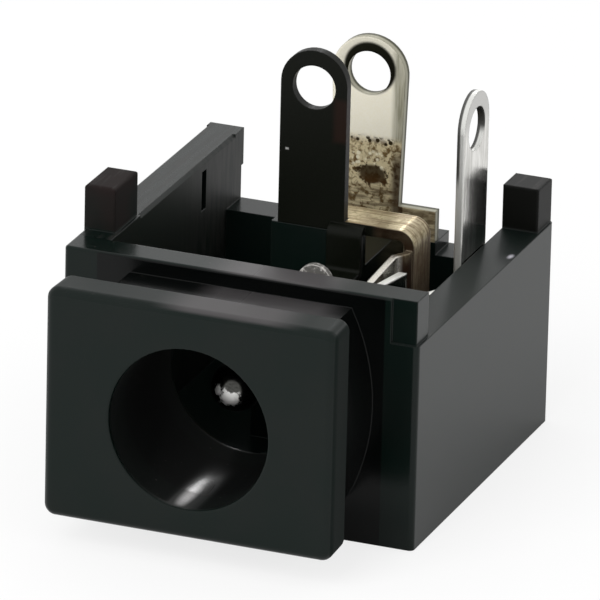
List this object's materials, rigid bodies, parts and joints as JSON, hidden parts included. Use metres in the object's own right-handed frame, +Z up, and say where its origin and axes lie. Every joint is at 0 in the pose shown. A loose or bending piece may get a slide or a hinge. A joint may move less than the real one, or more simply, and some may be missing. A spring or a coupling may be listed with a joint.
{
  "type": "dc barrel jack",
  "caption": "Panel-front power jack: square flange on a round neck, open-topped moulded box, plug socket with a centre pin, and upright solder lugs.",
  "frame": {"origin": "centre of the plug socket on the front face of the flange", "axes": "+Y runs back along the plug into the box, +X to the right seen from the front, +Z up, where the solder lugs stand"},
  "size_m": [0.0142, 0.02, 0.0164],
  "materials": {
    "housing": "black moulded thermoplastic, satin with glossy edges",
    "centre_pin": "turned, nickel-plated",
    "pin_terminal": "stamped brass, tin-plated, stained with flux",
    "sleeve_contact": "stamped brass, dull plating",
    "switch_contact": "stamped spring metal, bright tin plating"
  },
  "bodies": {
    "root": {"housing": "housing", "centre_pin": "centre_pin", "pin_terminal": "pin_terminal", "sleeve_contact": "sleeve_contact", "switch_contact": "switch_contact"}
  },
  "joints": []
}
